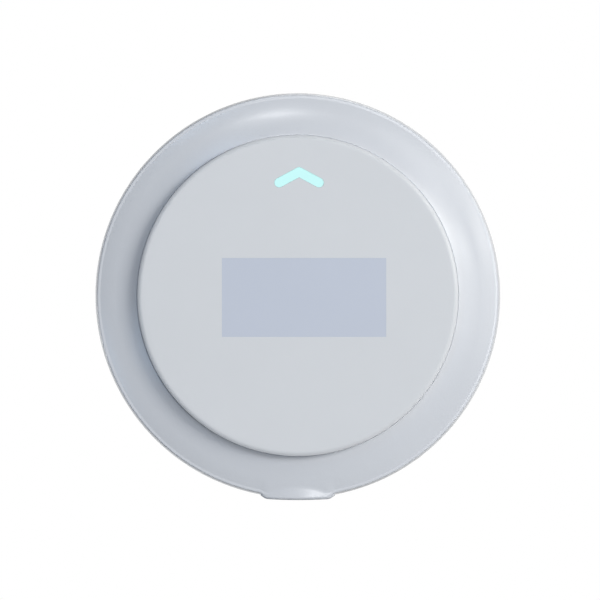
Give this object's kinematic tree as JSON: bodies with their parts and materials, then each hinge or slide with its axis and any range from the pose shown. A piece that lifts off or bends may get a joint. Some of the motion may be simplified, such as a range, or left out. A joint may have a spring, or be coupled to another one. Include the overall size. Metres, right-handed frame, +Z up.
{
  "type": "wall fall detection sensor",
  "caption": "Round wall sensor: flared ring around a raised press face with a lit chevron, power inlet at the bottom and a twist-on wall plate.",
  "frame": {"origin": "centre of the wall plate's back face, on the wall", "axes": "+Z up the wall, +X to the right as seen from the room, +Y into the wall; the face looks along -Y"},
  "size_m": [0.11, 0.028, 0.1105],
  "materials": {
    "shell_plastic": "satin moulded, cool light grey",
    "face_plastic": "satin moulded, cool light grey",
    "rear_plastic": "fine moulded texture, cool light grey",
    "panel_film": "flush grey-blue inlay, satin",
    "light_guide": "frosted, lit pale turquoise",
    "bracket_plastic": "moulded, light grey",
    "dark_plastic": "moulded, black",
    "board": "green solder mask",
    "chip": "moulded epoxy, black",
    "plated_copper": "gold plated copper",
    "lamp": "moulded lamp body with a pale lens",
    "sheet_steel": "plated sheet steel",
    "screw_steel": "zinc plated steel",
    "elastomer": "silicone, grey",
    "switch_stem": "moulded nylon, cream"
  },
  "bodies": {
    "wall_plate": {"wall_plate": "bracket_plastic"},
    "housing": {"rear_shell": "rear_plastic", "front_shell": "shell_plastic", "light_well": "dark_plastic", "indicator_lamps": "lamp", "sensor_board": "board", "radar_chip": "chip", "antenna_patches": "plated_copper", "call_switch_body": "dark_plastic", "board_socket": "dark_plastic", "board_header": "dark_plastic", "return_pads": "elastomer", "main_board": "board", "power_inlet_shell": "sheet_steel", "inlet_tongue": "dark_plastic", "wireless_module": "board", "wireless_shield": "sheet_steel", "processor_chip": "chip", "power_components": "dark_plastic", "sounder": "dark_plastic", "reset_switch_body": "dark_plastic", "housing_screws": "screw_steel", "sensor_board_screws": "screw_steel", "main_board_screws": "screw_steel"},
    "face": {"face_cap": "face_plastic", "face_panel": "panel_film", "chevron_light_guide": "light_guide"},
    "call_stem": {"call_switch_stem": "switch_stem"},
    "reset_button": {"reset_button": "rear_plastic"},
    "reset_stem": {"reset_switch_stem": "switch_stem"}
  },
  "joints": [
    {"name": "plate_twist", "type": "hinge", "parent": "wall_plate", "child": "housing", "pos_m": [0, 0, 0], "axis": [0, -1, 0], "range_deg": [0, 20]},
    {"name": "face_press", "type": "slide", "parent": "housing", "child": "face", "axis": [0, 1, 0], "range_m": [0, 0.0008], "stiffness_N_per_m": 2500, "springref_m": -0.0008, "deforming": ["return_pads"]},
    {"name": "call_stem_press", "type": "slide", "parent": "housing", "child": "call_stem", "axis": [0, 1, 0], "range_m": [0, 0.0008]},
    {"name": "reset_press", "type": "slide", "parent": "housing", "child": "reset_button", "axis": [0, -1, 0], "range_m": [0, 0.0006], "stiffness_N_per_m": 600, "springref_m": -0.0004},
    {"name": "reset_stem_press", "type": "slide", "parent": "housing", "child": "reset_stem", "axis": [0, -1, 0], "range_m": [0, 0.0006]}
  ],
  "couplings": [
    {"joint": "call_stem_press", "follows": "face_press", "ratio": 1},
    {"joint": "reset_stem_press", "follows": "reset_press", "ratio": 1}
  ]
}
